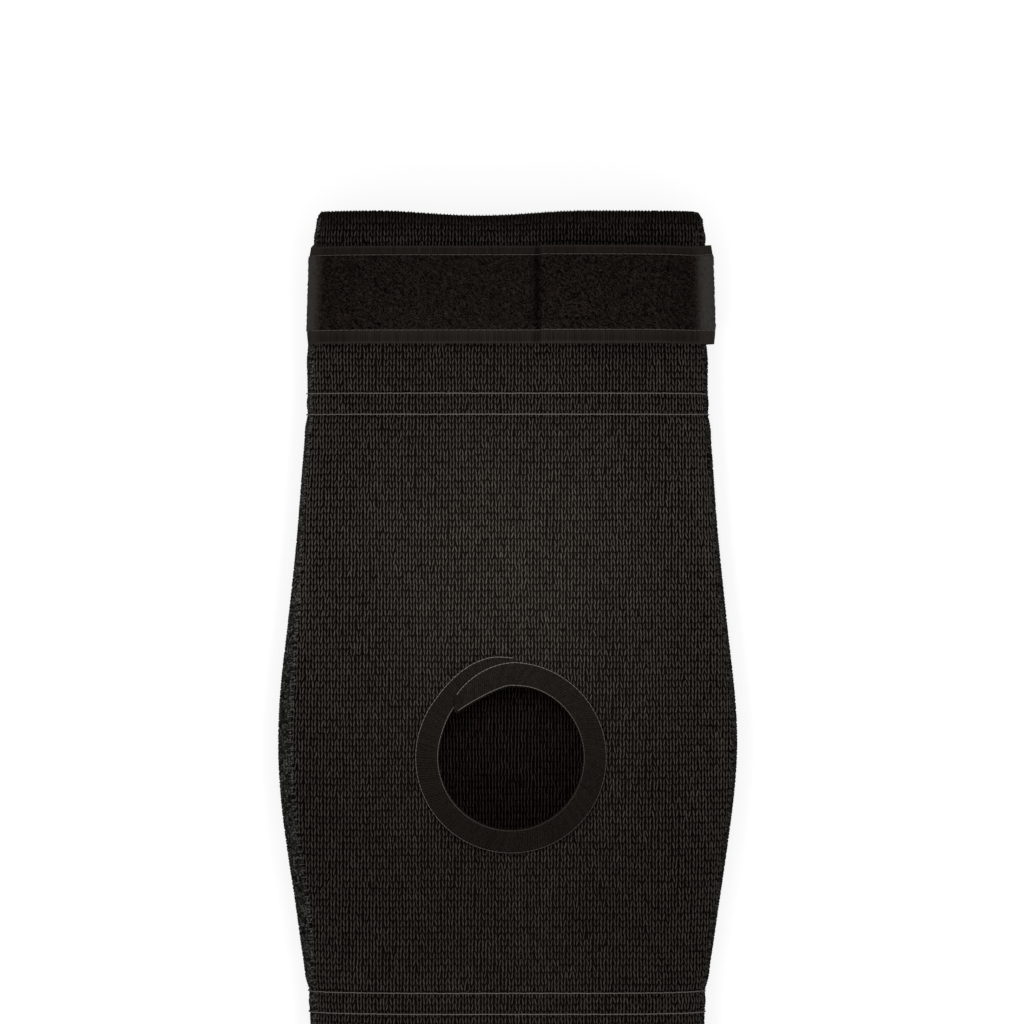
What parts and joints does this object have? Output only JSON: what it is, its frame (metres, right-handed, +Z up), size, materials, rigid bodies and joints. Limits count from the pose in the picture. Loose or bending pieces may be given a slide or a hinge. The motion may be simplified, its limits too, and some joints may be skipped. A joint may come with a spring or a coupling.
{
  "type": "knee brace",
  "caption": "Slip-on elastic knit knee brace with a bound open kneecap, turned-in hems and hook-and-loop straps that peel open, lying flat on its back.",
  "frame": {"origin": "on the surface that the brace lies on, under the middle of its length and width", "axes": "+X across the leg towards the side where the straps fold, +Y along the leg towards the thigh, +Z up out of the front with the kneecap opening"},
  "size_m": [0.1804, 0.384, 0.0287],
  "materials": {
    "knit": "matte coarse elastic knit",
    "seam_thread": "matte cover-stitch thread",
    "thread": "slightly shiny sewing thread",
    "binding_tape": "matte ribbed tape",
    "elastic": "matte ribbed elastic",
    "loop_pile": "brushed loop pile",
    "hook_plastic": "moulded hooks"
  },
  "bodies": {
    "sleeve": {"front_panel": "knit", "back_panel": "knit", "left_side_seam": "seam_thread", "right_side_seam": "seam_thread", "thigh_hem_stitching": "thread", "calf_hem_stitching": "thread", "kneecap_binding": "binding_tape", "kneecap_binding_stitching": "thread", "thigh_strap_band": "elastic", "thigh_strap_loop_tape": "loop_pile", "thigh_strap_stitching": "thread", "thigh_strap_bar_tacks": "thread", "calf_strap_band": "elastic", "calf_strap_loop_tape": "loop_pile", "calf_strap_stitching": "thread", "calf_strap_bar_tacks": "thread"},
    "thigh_flap": {"thigh_flap_band": "elastic", "thigh_flap_loop_tape": "loop_pile", "thigh_flap_stitching": "thread"},
    "thigh_tab": {"thigh_tab_band": "elastic", "thigh_tab_loop_tape": "loop_pile", "thigh_tab_stitching": "thread", "thigh_tab_hook_patch": "hook_plastic"},
    "calf_flap": {"calf_flap_band": "elastic", "calf_flap_loop_tape": "loop_pile", "calf_flap_stitching": "thread"},
    "calf_tab": {"calf_tab_band": "elastic", "calf_tab_loop_tape": "loop_pile", "calf_tab_stitching": "thread", "calf_tab_hook_patch": "hook_plastic"}
  },
  "joints": [
    {"name": "thigh_flap_swing", "type": "hinge", "parent": "sleeve", "child": "thigh_flap", "pos_m": [0.08078, 0.1596, 0.01101], "axis": [0, 1, 0], "range_deg": [0, 120]},
    {"name": "thigh_tab_peel", "type": "hinge", "parent": "thigh_flap", "child": "thigh_tab", "pos_m": [0.05691, 0.1596, 0.02739], "axis": [0, 1, 0], "range_deg": [0, 75]},
    {"name": "calf_flap_swing", "type": "hinge", "parent": "sleeve", "child": "calf_flap", "pos_m": [0.0794, -0.1596, 0.01101], "axis": [0, 1, 0], "range_deg": [0, 120]},
    {"name": "calf_tab_peel", "type": "hinge", "parent": "calf_flap", "child": "calf_tab", "pos_m": [0.05718, -0.1596, 0.02724], "axis": [0, 1, 0], "range_deg": [0, 75]}
  ]
}
